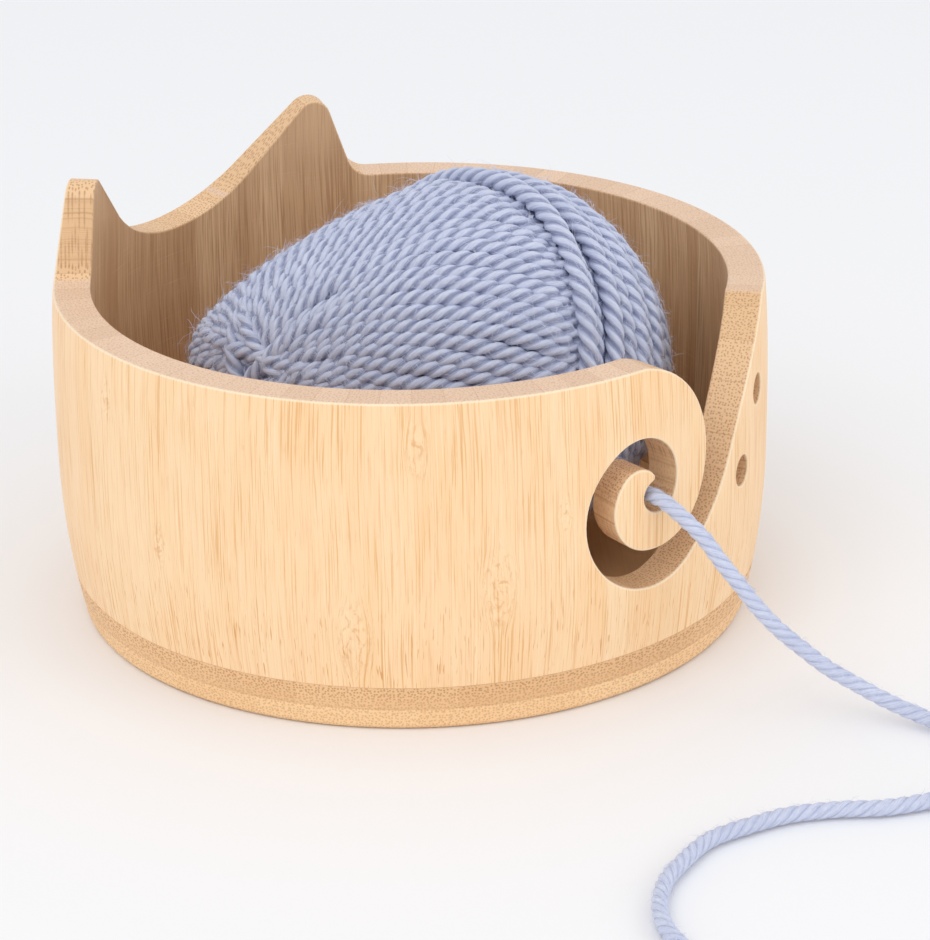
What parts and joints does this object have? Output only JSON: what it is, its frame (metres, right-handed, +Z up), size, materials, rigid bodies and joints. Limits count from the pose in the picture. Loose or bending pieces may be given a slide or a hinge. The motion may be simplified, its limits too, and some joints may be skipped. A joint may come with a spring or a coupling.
{
  "type": "yarn bowl",
  "caption": "Round bamboo yarn bowl with a curled slot that guides the strand, needle holes in the wall and pointed ears on the rim, holding a ball of yarn.",
  "frame": {"origin": "middle of the bowl's underside, on the axis of its round wall", "axes": "+Z up along the bowl's axis, +Y towards the middle between the two ears at the back, so the curled slot faces about -Y and +X is to the right of someone who faces the slot"},
  "size_m": [0.1865, 0.248, 0.0984],
  "materials": {
    "bamboo_wall": "satin varnish over pale yellow bamboo",
    "bamboo_upper_ply": "satin varnish over darker end grain",
    "bamboo_lower_ply": "satin varnish over lighter end grain",
    "yarn": "matt, softly fuzzy plied yarn in light blue-grey"
  },
  "bodies": {
    "bowl": {"stave_1": "bamboo_wall", "stave_2": "bamboo_wall", "stave_3": "bamboo_wall", "stave_4": "bamboo_wall", "stave_5": "bamboo_wall", "stave_6": "bamboo_wall", "stave_7": "bamboo_wall", "stave_8": "bamboo_wall", "stave_9": "bamboo_wall", "stave_10": "bamboo_wall", "stave_11": "bamboo_wall", "stave_12": "bamboo_wall", "stave_13": "bamboo_wall", "stave_14": "bamboo_wall", "stave_15": "bamboo_wall", "stave_16": "bamboo_wall", "stave_17": "bamboo_wall", "stave_18": "bamboo_wall", "stave_19": "bamboo_wall", "stave_20": "bamboo_wall", "stave_21": "bamboo_wall", "stave_22": "bamboo_wall", "stave_23": "bamboo_wall", "stave_24": "bamboo_wall", "upper_ply_strip_1": "bamboo_upper_ply", "upper_ply_strip_2": "bamboo_upper_ply", "upper_ply_strip_3": "bamboo_upper_ply", "upper_ply_strip_4": "bamboo_upper_ply", "upper_ply_strip_5": "bamboo_upper_ply", "upper_ply_strip_6": "bamboo_upper_ply", "upper_ply_strip_7": "bamboo_upper_ply", "upper_ply_strip_8": "bamboo_upper_ply", "upper_ply_strip_9": "bamboo_upper_ply", "lower_ply_strip_1": "bamboo_lower_ply", "lower_ply_strip_2": "bamboo_lower_ply", "lower_ply_strip_3": "bamboo_lower_ply", "lower_ply_strip_4": "bamboo_lower_ply", "lower_ply_strip_5": "bamboo_lower_ply", "lower_ply_strip_6": "bamboo_lower_ply", "lower_ply_strip_7": "bamboo_lower_ply", "lower_ply_strip_8": "bamboo_lower_ply", "lower_ply_strip_9": "bamboo_lower_ply", "lower_ply_strip_10": "bamboo_lower_ply", "yarn_tail": "yarn"},
    "ball": {"yarn_ball": "yarn"}
  },
  "joints": [
    {"name": "ball_lift", "type": "slide", "parent": "bowl", "child": "ball", "axis": [0, 0, 1], "range_m": [0, 0.1]}
  ]
}
